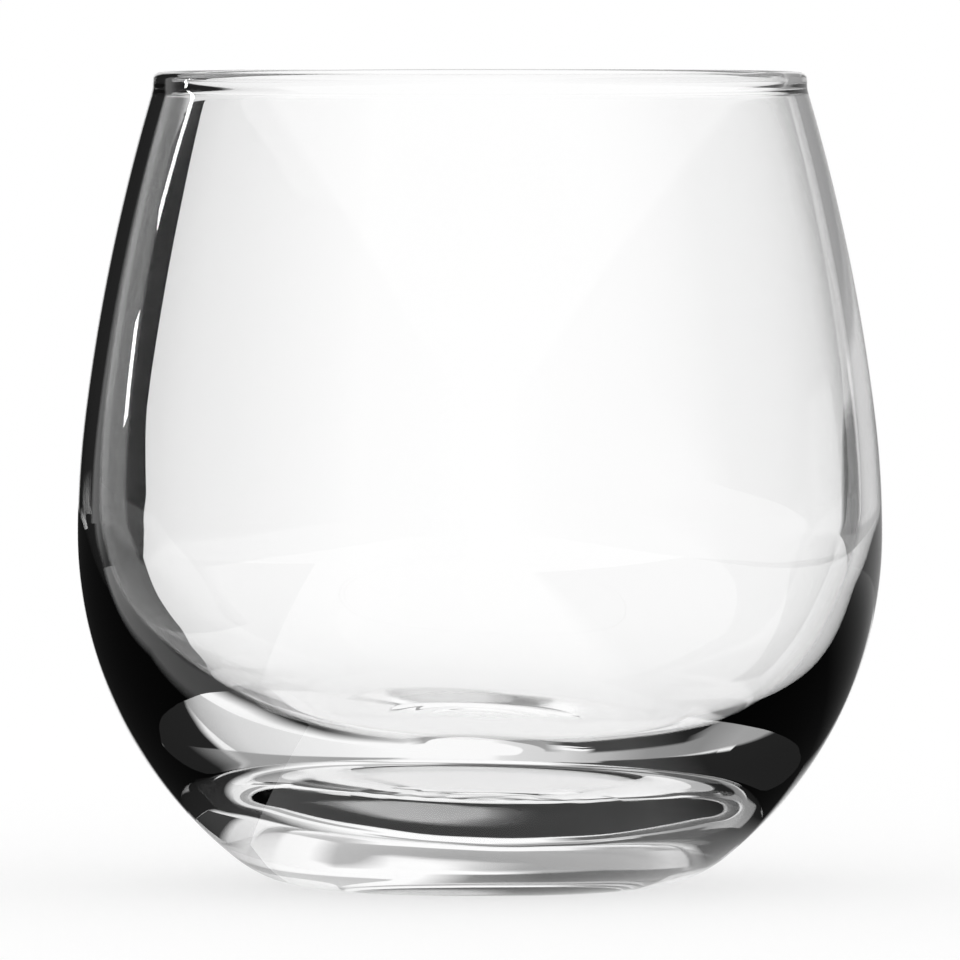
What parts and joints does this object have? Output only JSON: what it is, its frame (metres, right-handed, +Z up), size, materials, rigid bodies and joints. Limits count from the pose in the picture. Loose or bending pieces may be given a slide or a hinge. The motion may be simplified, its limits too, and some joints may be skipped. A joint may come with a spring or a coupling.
{
  "type": "balloon tumbler",
  "caption": "Stemless clear drinking glass with a full round bowl that draws in to a rounded lip, standing on a thick sole.",
  "frame": {"origin": "middle of the foot, on the table that the glass stands on", "axes": "+Z up along the axis that the glass is turned about; +X and +Y are any two square directions, since the glass is round"},
  "size_m": [0.094, 0.094, 0.095],
  "materials": {
    "clear_glass": "polished"
  },
  "bodies": {
    "root": {"glass_body": "clear_glass"}
  },
  "joints": []
}
